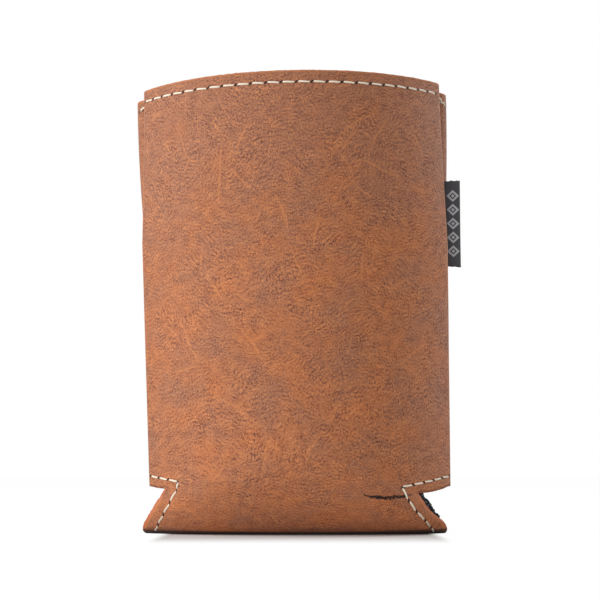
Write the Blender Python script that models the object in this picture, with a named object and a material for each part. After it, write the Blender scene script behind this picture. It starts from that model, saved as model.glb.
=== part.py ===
"""Collapsible leather sleeve for a drinks can, standing half open and empty.

One leather strip and one foam strip of the same cut run down the front, under the base and up the
back. The side seams are sewn inside out and turned, so their allowances stand inside as fins. A notch
at each bottom corner lets the base open. Metres, +Z up, the front faces -Y, and the origin is on the
ground under the middle of the base.
"""

import math

import bmesh
import bpy
from mathutils import Vector

FRONT = -1
BACK = 1
LEFT = -1
RIGHT = 1

# Wall
LEATHER = 0.0014
LINING = 0.0020
CLEARANCE = 0.0003
INNER_BEND = 0.0005  # radius left inside the wall where it turns at a seam
WALL = LEATHER + CLEARANCE + LINING
EDGE_RADIUS = WALL + INNER_BEND
SEAM_ALLOWANCE = 0.0065

# Body, between its two turned seam edges
FLAT_WIDTH = 0.104
ARC = FLAT_WIDTH - 2 * EDGE_RADIUS
OPENING_BOTTOM = math.radians(56.4)  # between a panel and the middle plane, at the seams
OPENING_BODY = math.radians(49.5)
OPENING_RIM = {FRONT: math.radians(53.3), BACK: math.radians(38.9)}
BODY_LEVEL = 0.6  # share of the seam's height at which the panels are flattest
LEAN = -0.0026  # how far the rim's middle stands to the right of the base's

# Rim
RIM_HEIGHT = 0.1351
RIM_RISE = 0.0024  # right seam over left seam
RIM_SAG = 0.0014
BACK_RIM_DROP = 0.0010
LINING_RIM_DROP = 0.0005

# Base and notches
NOTCH_HEIGHT = 0.0138
NOTCH_DEPTH = {LEFT: 0.0111, RIGHT: 0.0181}
NOTCH_DROP = {LEFT: 0.0006, RIGHT: 0.0018}
STITCH_DROP = {LEFT: 0.0016, RIGHT: 0.0031}  # fall of a notch's stitches from the seam to their corner
EDGE_WAIST = {LEFT: 0.0, RIGHT: 0.0009}  # how far a notch's lower edge curves in
WAIST_START = 0.25  # share of the notch's height at which that starts
TIP_REACH = {LEFT: 0.0482, RIGHT: 0.0453}
TIP_ROUNDING = 0.0023
TIP_ROUNDING_HEIGHT = 0.0017
TIP_FLAT = 0.0010
TIP_TIGHTNESS = 0.3  # 0 turns under in a quarter of an ellipse, 1 in a parabola
BASE_FLAT = 0.0095
CURVE_HEIGHT = 0.0230  # where the middle of a panel starts to turn under the base
LINING_OVERHANG = {LEFT: -0.0008, RIGHT: 0.0008}

# Threads
THREAD = 0.0007
UNDER_THREAD_CLEARANCE = 0.0005
STITCH_PITCH = 0.0045
STITCH_HUMP = 0.0003
RIM_STITCH_MARGIN = 0.0036
STITCH_MARGIN = 0.0031
CORNER_INSET = 0.0053
SEAM_LINE = 0.0025  # from a seam's turned edge in to its stitches
FIN_GAP = 0.0011  # from a seam's fin to the end of an under thread
VALLEY_TURN = math.radians(118)  # where a top thread leaves one turned edge for the other

# Side label
LABEL_PLY = 0.00035
LABEL_SLIT = 0.0002
LABEL_THICKNESS = 2 * LABEL_PLY + LABEL_SLIT
LABEL_BOTTOM = 0.0804
LABEL_HEIGHT = 0.0266
LABEL_REACH = 0.0049
LABEL_TAIL = 0.0045

# Mesh
WALL_ROWS = 9
CURVE_ROWS = 7
BASE_ROWS = CURVE_ROWS + 1
EDGE_COLUMNS = 4
CHEEK_COLUMNS = 2
PANEL_COLUMNS = 14
STATIONS = 60
STEP = 1e-4
ROW_SPACING = (RIM_HEIGHT - NOTCH_HEIGHT) / WALL_ROWS


def share(value, start, end):
    """How far value lies from start to end, held between 0 and 1."""
    return min(1.0, max(0.0, (value - start) / (end - start)))


def hand(across):
    return LEFT if across < 0 else RIGHT


def apex_across(side):
    """Where a notch ends, as a share of half a panel's arc."""
    return (FLAT_WIDTH / 2 - NOTCH_DEPTH[side]) / (ARC / 2)


def rim_height(panel, across):
    along = max(-1.0, min(1.0, across))
    drop = BACK_RIM_DROP if panel == BACK else 0.0
    return RIM_HEIGHT + RIM_RISE / 2 * along - RIM_SAG * (1 - along**2) - drop


def wall_bottom(across):
    """Height at which a column of the wall ends: a notch's edge, or where the panel turns under."""
    side = hand(across)
    apex = apex_across(side)
    apex_height = NOTCH_HEIGHT - NOTCH_DROP[side]
    if abs(across) >= apex:
        return apex_height + NOTCH_DROP[side] * share(abs(across), apex, 1.0) ** 2
    return apex_height + (CURVE_HEIGHT - apex_height) * (1 - (across / apex) ** 2) ** 2


def opening_angle(panel, height):
    level = share(height, NOTCH_HEIGHT, RIM_HEIGHT)
    fill = min(level / BODY_LEVEL, 1.0)
    flare = math.sin(math.pi / 2 * share(level, BODY_LEVEL, 1.0))
    opened = OPENING_BOTTOM + (OPENING_BODY - OPENING_BOTTOM) * fill
    return opened + (OPENING_RIM[panel] - OPENING_BODY) * flare


def middle_x(height):
    return LEAN * share(height, NOTCH_HEIGHT, RIM_HEIGHT)


def half_chord(panel, height):
    """From the middle to the centre of a turned seam edge."""
    angle = opening_angle(panel, height)
    return ARC / (2 * angle) * math.sin(angle)


def seam_gap(across, height):
    """Room between the two panels' allowances. The right seam opens for the label's tail."""
    above = height - (LABEL_BOTTOM + LABEL_HEIGHT + ROW_SPACING)
    below = LABEL_BOTTOM - ROW_SPACING - height
    open_share = 1 - share(max(above, below), 0.0, ROW_SPACING)
    toward_right = share(across, 0.0, 1.0) ** 2
    return CLEARANCE + (LABEL_THICKNESS + CLEARANCE) * open_share * toward_right


def wall_point(panel, across, height, depth):
    """A point of the wall, depth metres in from its outer face.

    across runs -1 to 1 over the panel, on to 2 round its turned edge and to 3 along its allowance.
    """
    angle = opening_angle(panel, height)
    radius = ARC / (2 * angle)
    turn = min(abs(across), 1.0) * angle
    out_x = radius * math.sin(turn) - SEAM_ALLOWANCE * max(0.0, abs(across) - 2)
    out_y = seam_gap(across, height) / 2 + EDGE_RADIUS
    out_y += radius * (math.cos(turn) - math.cos(angle))
    facing = turn + (math.pi - angle) * share(abs(across), 1.0, 2.0)
    reach = EDGE_RADIUS - depth
    out_x += reach * math.sin(facing)
    out_y += reach * math.cos(facing)
    return Vector((middle_x(height) + hand(across) * out_x, panel * out_y, height))


def base_point(panel, across, down):
    """A point of the outer face between the wall's end, down 0, and the fold under the base, down 1.

    Below 0 it runs up the wall, and past 1 it runs on over the other half of the base.
    """
    if down > 1:
        return base_point(-panel, across, 2 - down)
    top = wall_bottom(across)
    if down < 0:
        return wall_point(panel, across, top - down * ROW_SPACING, 0.0)
    side = hand(across)
    start = wall_point(panel, across, top, 0.0)
    outward = abs(across) / apex_across(side)
    flat = BASE_FLAT + (TIP_FLAT - BASE_FLAT) * min(outward, 1.0) ** 4
    curve_end = CURVE_ROWS / BASE_ROWS
    turn = math.pi / 2 * (1 - share(down, 0.0, curve_end))
    tightness = TIP_TIGHTNESS * min(outward, 1.0) ** 2
    rise = (1 - tightness) * (1 - math.cos(turn)) + tightness * math.sin(turn) ** 2
    out_y = flat + (abs(start.y) - flat) * math.sin(turn)
    out_y -= flat * share(down, curve_end, 1.0)
    rounding = TIP_ROUNDING * outward**12 * (1 - rise) * math.exp(-rise * top / TIP_ROUNDING_HEIGHT)
    fold_x = side * (outward * TIP_REACH[side] - rounding)
    waist = EDGE_WAIST[side] * outward**2 * math.sin(math.pi * share(rise, WAIST_START, 1.0)) ** 2
    out_x = fold_x + (start.x - fold_x) * rise - side * waist
    return Vector((out_x, panel * out_y, rise * top))


def base_normal(panel, across, down):
    """Outward direction there, from the outer face's own slopes."""
    low = max(down - STEP, 0.0)
    along = base_point(panel, across + STEP, down) - base_point(panel, across - STEP, down)
    under = base_point(panel, across, down + STEP) - base_point(panel, across, low)
    outward = under.cross(along).normalized()
    return outward if panel == FRONT else -outward


def strip_point(panel, across, along, depth, rim_drop):
    """A point of a strip: along runs 0 to 1 down the wall and on to 2 at the fold under the base."""
    if along <= 1:
        rim = rim_height(panel, across) - rim_drop
        return wall_point(panel, across, rim + (wall_bottom(across) - rim) * along, depth)
    point = base_point(panel, across, along - 1)
    return point - depth * base_normal(panel, across, along - 1)


def evenly(start, end, count):
    return [start + (end - start) * i / count for i in range(count)]


def strip_columns(overhang):
    """Columns of a strip from one allowance's end to the other, and the two at its notches."""
    apex = {side: apex_across(side) for side in (LEFT, RIGHT)}
    ends = {side: apex[side] + overhang[side] / (ARC / 2) for side in (LEFT, RIGHT)}
    outer = {side: max(apex[side], ends[side]) for side in (LEFT, RIGHT)}
    panel = evenly(-apex[LEFT], apex[RIGHT], PANEL_COLUMNS) + [apex[RIGHT]]
    columns = {-3.0, 3.0, 2.0, -ends[LEFT], ends[RIGHT]} | set(panel)
    columns |= set(evenly(-2.0, -1.0, EDGE_COLUMNS)) | set(evenly(1.0, 2.0, EDGE_COLUMNS))
    columns |= set(evenly(-1.0, -outer[LEFT], CHEEK_COLUMNS))
    columns |= set(evenly(1.0, outer[RIGHT], CHEEK_COLUMNS))
    ordered = sorted(columns)
    return ordered, ordered.index(-ends[LEFT]), ordered.index(ends[RIGHT])


def strip_rows():
    """Rows of a strip from the front rim, under the base, to the back rim."""
    half = evenly(0.0, 1.0, WALL_ROWS) + evenly(1.0, 2.0, BASE_ROWS)
    front = [(FRONT, along) for along in half]
    back = [(BACK, along) for along in reversed(half)]
    return front + [(FRONT, 2.0)] + back


def strip_cells(columns, first, last):
    """The strip's squares: all columns on the walls, and only those between the notches on the base."""
    rows = strip_rows()
    for row in range(len(rows) - 1):
        on_base = rows[row][1] >= 1 and rows[row + 1][1] >= 1
        for column in range(len(columns) - 1):
            if not on_base or first <= column < last:
                yield row, column


def strip_object(name, material, depth, thickness, rim_drop, overhang):
    """A folded strip with its outer face depth metres in from the leather's."""
    columns, first, last = strip_columns(overhang)
    rows = strip_rows()
    mesh = bmesh.new()
    corners = {}

    def corner(row, column, inner):
        key = (row, column, inner)
        if key not in corners:
            panel, along = rows[row]
            face_depth = depth + thickness * inner
            place = strip_point(panel, columns[column], along, face_depth, rim_drop)
            corners[key] = mesh.verts.new(place)
        return corners[key]

    edges = {}
    for row, column in strip_cells(columns, first, last):
        ring = [(row, column), (row + 1, column), (row + 1, column + 1), (row, column + 1)]
        mesh.faces.new([corner(*at, 0) for at in ring])
        mesh.faces.new([corner(*at, 1) for at in ring[:1] + ring[:0:-1]])
        for start, end in zip(ring, ring[1:] + ring[:1]):
            edges[start, end] = True
    for start, end in edges:
        if (end, start) not in edges:
            mesh.faces.new([corner(*end, 0), corner(*start, 0), corner(*start, 1), corner(*end, 1)])
    return mesh_object(name, mesh, material)


def mesh_object(name, mesh, material):
    data = bpy.data.meshes.new(name)
    mesh.to_mesh(data)
    mesh.free()
    data.materials.append(material)
    data.shade_smooth()
    data.set_sharp_from_angle(angle=math.radians(40))
    made = bpy.data.objects.new(name, data)
    bpy.context.scene.collection.objects.link(made)
    return made


def surface_station(panel, across, height, depth):
    """A place on a seam line and its outward direction, at a height on the leather's outer face."""
    if height >= wall_bottom(across):
        place = wall_point(panel, across, height, depth)
        return place, wall_point(panel, across, height, depth - STEP) - place
    return base_station(panel, across, down_at(panel, across, height), depth)


def base_station(panel, across, down, depth):
    outward = base_normal(panel, across, down)
    return base_point(panel, across, down) - depth * outward, outward * STEP


def down_at(panel, across, height):
    """How far under the wall's end a column has come down to a height."""
    low, high = 0.0, 1.0
    while high - low > STEP:
        down = (low + high) / 2
        low, high = (down, high) if base_point(panel, across, down).z > height else (low, down)
    return low


def valley_across(panel, height):
    """Where on its turned edge a top thread leaves this panel."""
    angle = opening_angle(panel, height)
    return 1 + (VALLEY_TURN - angle) / (math.pi - angle)


def rim_stations(panel, end, depth):
    """The line of stitches under a panel's rim, from left to right."""
    found = []
    for i in range(STATIONS + 1):
        across = end * (2 * i / STATIONS - 1)
        height = rim_height(panel, across) - RIM_STITCH_MARGIN
        found.append(surface_station(panel, across, height, depth))
    return found


def notch_stations(side, panel, end, depth):
    """The line of stitches round half a notch: from the seam to its corner, then down to the fold."""
    apex = apex_across(side)
    corner = apex - CORNER_INSET / (ARC / 2)
    top = NOTCH_HEIGHT + STITCH_MARGIN
    found = []
    for i in range(STATIONS):
        across = end + (corner - end) * i / STATIONS
        height = top - STITCH_DROP[side] * (1 - share(across, corner, 1.0))
        found.append(surface_station(panel, side * across, height, depth))
    last = apex * (1 - (STITCH_MARGIN + TIP_ROUNDING / 2) / TIP_REACH[side])
    turned = down_at(panel, side * corner, top - STITCH_DROP[side])
    for i in range(STATIONS + 1):
        down = turned + (1 - turned) * i / STATIONS
        across = corner + (last - corner) * i / STATIONS
        found.append(base_station(panel, side * across, down, depth))
    return found


def sewn_points(stations, pitch, hump, samples, closed):
    """Evenly spaced points along the stations, each raised by hump between two needle holes."""
    places = [place for place, _ in stations] + ([stations[0][0]] if closed else [])
    outwards = [outward for _, outward in stations] + ([stations[0][1]] if closed else [])
    lengths = [0.0]
    for start, end in zip(places, places[1:]):
        lengths.append(lengths[-1] + (end - start).length)
    stitches = max(2, round(lengths[-1] / pitch))
    total = stitches * samples
    points = []
    at = 0
    for i in range(total if closed else total + 1):
        wanted = lengths[-1] * i / total
        while lengths[at + 1] < wanted and at < len(lengths) - 2:
            at += 1
        part = share(wanted, lengths[at], lengths[at + 1])
        raised = hump * math.sin(math.pi * (i % samples) / samples)
        outward = outwards[at].lerp(outwards[at + 1], part).normalized()
        points.append(places[at].lerp(places[at + 1], part) + raised * outward)
    return points


def thread_object(name, points, material, closed):
    data = bpy.data.curves.new(name, "CURVE")
    data.dimensions = "3D"
    data.bevel_depth = THREAD / 2
    data.bevel_resolution = 1
    data.use_fill_caps = True
    spline = data.splines.new("POLY")
    spline.points.add(len(points) - 1)
    for point, place in zip(spline.points, points):
        point.co = (*place, 1.0)
    spline.use_cyclic_u = closed
    data.materials.append(material)
    made = bpy.data.objects.new(name, data)
    bpy.context.scene.collection.objects.link(made)
    return made


def rim_threads(material):
    """The rim's top thread goes round both panels. Its under thread is buried in the seams between."""
    outside = -(CLEARANCE + THREAD / 2)
    front = rim_stations(FRONT, valley_across(FRONT, RIM_HEIGHT), outside)
    back = rim_stations(BACK, valley_across(BACK, RIM_HEIGHT), outside)
    loop = front + back[::-1]
    points = sewn_points(loop, STITCH_PITCH, STITCH_HUMP, 3, True)
    thread_object("rim_top_thread", points, material, True)
    inside = WALL + UNDER_THREAD_CLEARANCE + THREAD / 2
    for name, panel in (("rim_front_bobbin_thread", FRONT), ("rim_back_bobbin_thread", BACK)):
        stations = rim_stations(panel, under_thread_end(panel, RIM_HEIGHT), inside)
        points = sewn_points(stations, STITCH_PITCH, 0.0, 1, False)
        thread_object(name, points, material, False)


def under_thread_end(panel, height):
    """Where on its panel an under thread stops, FIN_GAP short of the seam's fin."""
    angle = opening_angle(panel, height)
    return 1 - FIN_GAP / (ARC / 2 * math.sin(angle))


def notch_threads(name, side, material):
    """A notch's top thread runs over the seam and ends at the ground. Its under thread stays inside."""
    outside = -(CLEARANCE + THREAD / 2)
    halves = {}
    for panel in (FRONT, BACK):
        end = valley_across(panel, NOTCH_HEIGHT)
        stations = notch_stations(side, panel, end, outside)
        halves[panel] = [at for at in stations if at[0].z > THREAD / 2 + CLEARANCE]
    line = halves[FRONT][::-1] + halves[BACK]
    points = sewn_points(line, STITCH_PITCH, STITCH_HUMP, 3, False)
    thread_object(name + "_top_thread", points, material, False)
    inside = WALL + UNDER_THREAD_CLEARANCE + THREAD / 2
    end = under_thread_end(FRONT, NOTCH_HEIGHT)
    front = notch_stations(side, FRONT, end, inside)
    back = notch_stations(side, BACK, end, inside)
    points = sewn_points(front + back[-2::-1], STITCH_PITCH / 2, 0.0, 1, False)
    thread_object(name + "_bobbin_thread", points, material, False)


def seam_threads(name, side, material):
    """The two threads of a side seam, one on each face of its fin."""
    across = side * (2 + SEAM_LINE / SEAM_ALLOWANCE)
    inside = WALL + UNDER_THREAD_CLEARANCE + THREAD / 2
    start = NOTCH_HEIGHT + STITCH_MARGIN / 2
    for panel, ending in ((FRONT, "_front_thread"), (BACK, "_back_thread")):
        end = rim_height(panel, across) - STITCH_MARGIN / 2
        rows = [start + (end - start) * i / (2 * WALL_ROWS) for i in range(2 * WALL_ROWS + 1)]
        points = [wall_point(panel, across, height, inside) for height in rows]
        thread_object(name + ending, points, material, False)


def label_outline():
    """The folded tape from above: two plies and the bend that joins them past the seam edge."""
    height = LABEL_BOTTOM + LABEL_HEIGHT / 2
    edge = middle_x(height) + half_chord(FRONT, height)
    tail = edge - LABEL_TAIL
    bend = edge + EDGE_RADIUS + LABEL_REACH - LABEL_THICKNESS / 2
    steps = 6
    turns = [math.pi / 2 - math.pi * i / steps for i in range(steps + 1)]
    outer = LABEL_THICKNESS / 2
    inner = LABEL_SLIT / 2
    outline = [(tail, inner), (tail, outer)]
    outline += [(bend + outer * math.cos(turn), outer * math.sin(turn)) for turn in turns]
    outline += [(tail, -outer), (tail, -inner)]
    outline += [(bend + inner * math.cos(turn), inner * math.sin(turn)) for turn in turns[::-1]]
    return outline


def label_object(name, material):
    mesh = bmesh.new()
    ring = [mesh.verts.new((x, y, LABEL_BOTTOM)) for x, y in label_outline()]
    floor = mesh.faces.new(ring)
    lifted = bmesh.ops.extrude_face_region(mesh, geom=[floor])
    raised = [item for item in lifted["geom"] if isinstance(item, bmesh.types.BMVert)]
    bmesh.ops.translate(mesh, verts=raised, vec=(0.0, 0.0, LABEL_HEIGHT))
    bmesh.ops.recalc_face_normals(mesh, faces=mesh.faces[:])
    bmesh.ops.triangulate(mesh, faces=mesh.faces[:])
    return mesh_object(name, mesh, material)


def material_of(name, colour, roughness):
    made = bpy.data.materials.new(name)
    made.use_nodes = True
    shader = made.node_tree.nodes["Principled BSDF"]
    shader.inputs["Base Color"].default_value = (*colour, 1.0)
    shader.inputs["Roughness"].default_value = roughness
    shader.inputs["Metallic"].default_value = 0.0
    made.diffuse_color = (*colour, 1.0)
    return made


def clear_scene():
    for old in list(bpy.data.objects):
        bpy.data.objects.remove(old, do_unlink=True)


def main():
    clear_scene()
    leather = material_of("pull_up_leather", (0.40, 0.16, 0.075), 0.55)
    foam = material_of("black_foam", (0.012, 0.012, 0.014), 0.9)
    thread = material_of("cream_thread", (0.80, 0.70, 0.54), 0.7)
    tape = material_of("black_woven_tape", (0.02, 0.02, 0.025), 0.75)
    flush = {LEFT: 0.0, RIGHT: 0.0}
    strip_object("leather_shell", leather, 0.0, LEATHER, 0.0, flush)
    lining_depth = LEATHER + CLEARANCE
    strip_object("lining", foam, lining_depth, LINING, LINING_RIM_DROP, LINING_OVERHANG)
    rim_threads(thread)
    for name, side in (("left", LEFT), ("right", RIGHT)):
        notch_threads(name + "_notch", side, thread)
        seam_threads(name + "_seam", side, thread)
    label_object("side_label", tape)


main()
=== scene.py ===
"""A leather can cooler sleeve, standing half open and empty in a white studio.

The sleeve is one leather strip and one foam strip, folded under the base and sewn up both sides. Every
piece is laid on the same folded surface, so leather, lining, stitches and label meet where the CAD
solids do. Sizes are in metres; the textures' own coordinates are in millimetres on the flat strip.
"""

import math

import bmesh
import bpy
import numpy as np
from bpy.props import FloatProperty, FloatVectorProperty, PointerProperty
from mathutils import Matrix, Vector


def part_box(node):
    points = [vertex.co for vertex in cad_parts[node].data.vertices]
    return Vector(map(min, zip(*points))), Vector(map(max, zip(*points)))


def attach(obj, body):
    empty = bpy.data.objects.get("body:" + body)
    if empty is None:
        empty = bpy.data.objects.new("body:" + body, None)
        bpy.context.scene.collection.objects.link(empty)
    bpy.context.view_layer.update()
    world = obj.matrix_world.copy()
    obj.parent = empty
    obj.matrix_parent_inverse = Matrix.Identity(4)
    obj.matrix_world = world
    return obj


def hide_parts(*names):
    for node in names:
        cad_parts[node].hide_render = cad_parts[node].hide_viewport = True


bl_info = {
    "name": "Leather can cooler sleeve",
    "version": (1, 0, 0),
    "blender": (4, 5, 0),
    "location": "View3D > Sidebar > Sleeve",
    "description": "Builds a folded leather sleeve for a drinks can and the studio it stands in",
    "category": "Add Mesh",
}

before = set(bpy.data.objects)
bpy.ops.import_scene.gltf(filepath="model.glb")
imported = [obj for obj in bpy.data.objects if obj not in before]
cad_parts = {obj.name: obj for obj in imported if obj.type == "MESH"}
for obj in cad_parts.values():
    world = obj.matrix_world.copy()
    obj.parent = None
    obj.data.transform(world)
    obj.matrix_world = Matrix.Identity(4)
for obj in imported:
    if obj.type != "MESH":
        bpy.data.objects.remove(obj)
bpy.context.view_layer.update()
LABEL_LOW, LABEL_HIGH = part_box("side_label")

FRONT, BACK = -1, 1
LEFT, RIGHT = -1, 1
MM = 0.001

# Folded form, as the CAD solids have it
CLEARANCE = 0.3 * MM
INNER_BEND = 0.5 * MM
SEAM_ALLOWANCE = 6.5 * MM
OPENING_BOTTOM = math.radians(56.4)
OPENING_BODY = math.radians(49.5)
OPENING_RIM = {FRONT: math.radians(53.3), BACK: math.radians(38.9)}
BODY_LEVEL = 0.6
LEAN = -2.6 * MM
RIM_RISE = 2.4 * MM
RIM_SAG = 1.4 * MM
BACK_RIM_DROP = 1.0 * MM
LINING_RIM_DROP = 0.5 * MM
NOTCH_DEPTH = {LEFT: 11.1 * MM, RIGHT: 18.1 * MM}
NOTCH_DROP = {LEFT: 0.6 * MM, RIGHT: 1.8 * MM}
STITCH_DROP = {LEFT: 1.6 * MM, RIGHT: 3.1 * MM}
EDGE_WAIST = {LEFT: 0.0, RIGHT: 0.9 * MM}
WAIST_START = 0.25
TIP_REACH = {LEFT: 48.2 * MM, RIGHT: 45.3 * MM}
TIP_ROUNDING = 2.3 * MM
TIP_ROUNDING_HEIGHT = 1.7 * MM
TIP_FLAT = 1.0 * MM
TIP_TIGHTNESS = 0.3
BASE_FLAT = 9.5 * MM
CURVE_HEIGHT = 23.0 * MM
CURVE_SHARE = 7 / 8
RIM_STITCH_MARGIN = 3.6 * MM
STITCH_MARGIN = 3.1 * MM
SEAM_LINE = 2.5 * MM
FIN_GAP = 1.1 * MM
VALLEY_TURN = math.radians(118)
SLOPE_STEP = 1e-4
EDGE_ROUNDING = 0.22 * MM

# Lengths of the flat strip: round a turned edge, and what each half has beyond the rim's height
TURN_ROUND = 9.7 * MM
BASE_RUN = BASE_FLAT + 12 * MM

# Stitch lines: where the rim's first hole lies, how far beyond a notch its line turns (0.4 mm more than in
# the CAD), the places worked out on each run round a notch, and how many of them the short stitch after the
# left notch's corner takes
RIM_LEAD = 4.2 * MM
CORNER_INSET = 5.7 * MM
NOTCH_STATIONS = 50
SHORT_STITCH = 2

# The lining past the leather at the right notch, in mm, from the wall's end down to the fold
LINING_OVERHANG = ((0.0, 0.1, 0.2, 0.28, 0.36, 0.44, 0.55, 1.0), (3.4, 3.7, 3.4, 2.6, 1.2, 0.1, -0.6, -0.6))

# Marks on the front, as places on the flat strip in millimetres: from its middle, and down from the rim
CREASES = (
    ((-19.3, 19.0), (-20.1, 25.7), (-20.5, 33.0), (-21.0, 38.6)),
    ((-15.7, 23.0), (-11.9, 15.0)),
    ((18.6, 53.5), (18.0, 58.2), (17.8, 63.0)),
    ((10.5, 22.6), (14.6, 17.5), (18.7, 14.4), (24.0, 12.3)),
    ((12.8, 24.5), (15.7, 19.9), (18.2, 17.2)),
    ((35.0, 16.8), (37.5, 19.6), (38.9, 22.8), (40.1, 26.0)),
    ((-2.0, 46.5), (-3.3, 40.5), (-5.3, 36.0)),
    ((6.9, 43.0), (5.4, 48.2), (4.8, 53.0)),
    ((-25.0, 59.0), (-21.9, 63.2), (-19.3, 67.7)),
    ((-26.9, 58.0), (-25.8, 50.0)),
    ((13.2, 28.6), (16.9, 26.6), (20.7, 26.8), (24.9, 29.3), (29.6, 30.8)),
    ((25.5, 65.2), (29.6, 62.4), (35.0, 60.3)),
    ((12.0, 102.0), (15.2, 98.4), (19.5, 96.3)),
    ((28.9, 86.0), (33.4, 82.9), (39.0, 79.6)),
    ((-15.1, 75.0), (-11.1, 79.9), (-9.2, 84.5)),
    ((-36.0, 86.8), (-31.7, 85.9), (-27.2, 85.2)),
)
SCAR = ((15.4, 124.8), (17.6, 125.9), (19.8, 126.0), (22.2, 126.5), (24.5, 125.8), (27.2, 125.6),
        (31.2, 124.0))

# Kinds of node. A range's sockets are its value, the two ends it comes from and the two ends it goes to
MATH, RANGE, MIX = "ShaderNodeMath", "ShaderNodeMapRange", "ShaderNodeMix"
NOISE, VECTOR, ATTRIBUTE = "ShaderNodeTexNoise", "ShaderNodeVectorMath", "ShaderNodeAttribute"
VORONOI, SEPARATE, COMBINE = "ShaderNodeTexVoronoi", "ShaderNodeSeparateXYZ", "ShaderNodeCombineXYZ"
STORE, NAMED = "GeometryNodeStoreNamedAttribute", "GeometryNodeInputNamedAttribute"
WHITE = (1.0, 1.0, 1.0, 1.0)


def share(value, start, end):
    """How far value lies from start to end, held between 0 and 1."""
    return np.clip((value - start) / (end - start), 0.0, 1.0)


def sided(across, values):
    """The left or the right one of a pair of values, for each place across the strip."""
    return np.where(across < 0, values[LEFT], values[RIGHT])


class Form:
    """The folded surface that every piece is laid on, from the sizes in the panel."""

    def __init__(self, sizes):
        self.leather = sizes.leather_thickness
        self.lining = sizes.lining_thickness
        self.thread = sizes.thread_diameter
        self.rim = sizes.rim_height
        self.notch = sizes.notch_height
        self.wall = self.leather + CLEARANCE + self.lining
        self.edge = self.wall + INNER_BEND
        self.arc = sizes.flat_width - 2 * self.edge
        self.strip = (self.arc + 2 * (SEAM_ALLOWANCE + TURN_ROUND), 2 * (self.rim + BASE_RUN))
        self.apex = {side: (sizes.flat_width / 2 - NOTCH_DEPTH[side]) / (self.arc / 2)
                     for side in (LEFT, RIGHT)}
        self.label_low = sizes.label_bottom
        self.label_high = sizes.label_bottom + sizes.label_height
        self.label_opening = sizes.label_thickness + CLEARANCE
        self.label_run = (self.rim - self.notch) / 9

    def rim_height(self, panel, across):
        along = np.clip(across, -1.0, 1.0)
        drop = np.where(np.asarray(panel) == BACK, BACK_RIM_DROP, 0.0)
        return self.rim + RIM_RISE / 2 * along - RIM_SAG * (1 - along**2) - drop

    def wall_bottom(self, across):
        """Height at which the wall ends: a notch's edge, or where the panel turns under."""
        across = np.asarray(across, float)
        apex = sided(across, self.apex)
        drop = sided(across, NOTCH_DROP)
        cheek = self.notch - drop * (1 - share(abs(across), apex, 1.0) ** 2)
        middle = self.notch - drop + (CURVE_HEIGHT - self.notch + drop) * (1 - (across / apex) ** 2) ** 2
        return np.where(abs(across) >= apex, cheek, middle)

    def opening(self, panel, height):
        level = share(height, self.notch, self.rim)
        fill = np.minimum(level / BODY_LEVEL, 1.0)
        flare = np.sin(math.pi / 2 * share(level, BODY_LEVEL, 1.0))
        opened = OPENING_BOTTOM + (OPENING_BODY - OPENING_BOTTOM) * fill
        at_rim = np.where(np.asarray(panel) == BACK, OPENING_RIM[BACK], OPENING_RIM[FRONT])
        return opened + (at_rim - OPENING_BODY) * flare

    def middle_x(self, height):
        return LEAN * share(height, self.notch, self.rim)

    def seam_gap(self, across, height):
        """Room between the two allowances. The right seam opens for the label's tail."""
        above = height - (self.label_high + self.label_run)
        below = self.label_low - self.label_run - height
        open_share = 1 - share(np.maximum(above, below), 0.0, self.label_run)
        return CLEARANCE + self.label_opening * open_share * share(across, 0.0, 1.0) ** 2

    def wall_point(self, panel, across, height, depth):
        """A point of the wall, depth metres in from its outer face.

        across runs -1 to 1 over the panel, on to 2 round its turned edge and to 3 along its allowance.
        """
        panel, across, height, depth = np.broadcast_arrays(panel, np.asarray(across, float), height, depth)
        angle = self.opening(panel, height)
        radius = self.arc / (2 * angle)
        turn = np.minimum(abs(across), 1.0) * angle
        facing = turn + (math.pi - angle) * share(abs(across), 1.0, 2.0)
        reach = self.edge - depth
        out_x = radius * np.sin(turn) - SEAM_ALLOWANCE * np.maximum(0.0, abs(across) - 2)
        out_y = self.seam_gap(across, height) / 2 + self.edge + radius * (np.cos(turn) - np.cos(angle))
        x = self.middle_x(height) + np.where(across < 0, -1, 1) * (out_x + reach * np.sin(facing))
        return np.stack([x, panel * (out_y + reach * np.cos(facing)), height], -1)

    def base_point(self, panel, across, down):
        """A point of the outer face from the wall's end, down 0, to the fold under the base, down 1."""
        panel, across, down = np.broadcast_arrays(panel, np.asarray(across, float), np.asarray(down, float))
        panel = np.where(down > 1, -panel, panel)
        down = np.where(down > 1, 2 - down, down)
        top = self.wall_bottom(across)
        run = (self.rim - self.notch) / 9
        up_the_wall = self.wall_point(panel, across, top - down * run, 0.0)
        start = self.wall_point(panel, across, top, 0.0)
        outward = abs(across) / sided(across, self.apex)
        flat = BASE_FLAT + (TIP_FLAT - BASE_FLAT) * np.minimum(outward, 1.0) ** 4
        turn = math.pi / 2 * (1 - share(down, 0.0, CURVE_SHARE))
        tight = TIP_TIGHTNESS * np.minimum(outward, 1.0) ** 2
        rise = (1 - tight) * (1 - np.cos(turn)) + tight * np.sin(turn) ** 2
        out_y = flat + (abs(start[..., 1]) - flat) * np.sin(turn) - flat * share(down, CURVE_SHARE, 1.0)
        rounding = TIP_ROUNDING * np.minimum(outward, 1.0) ** 12 * (1 - rise)
        rounding = rounding * np.exp(-rise * top / TIP_ROUNDING_HEIGHT)
        side = np.where(across < 0, -1, 1)
        fold_x = side * (outward * sided(across, TIP_REACH) - rounding)
        waist = sided(across, EDGE_WAIST) * outward**2 * np.sin(math.pi * share(rise, WAIST_START, 1.0)) ** 2
        out_x = fold_x + (start[..., 0] - fold_x) * rise - side * waist
        below = np.stack([out_x, panel * out_y, rise * top], -1)
        return np.where((down < 0)[..., None], up_the_wall, below)

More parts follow.
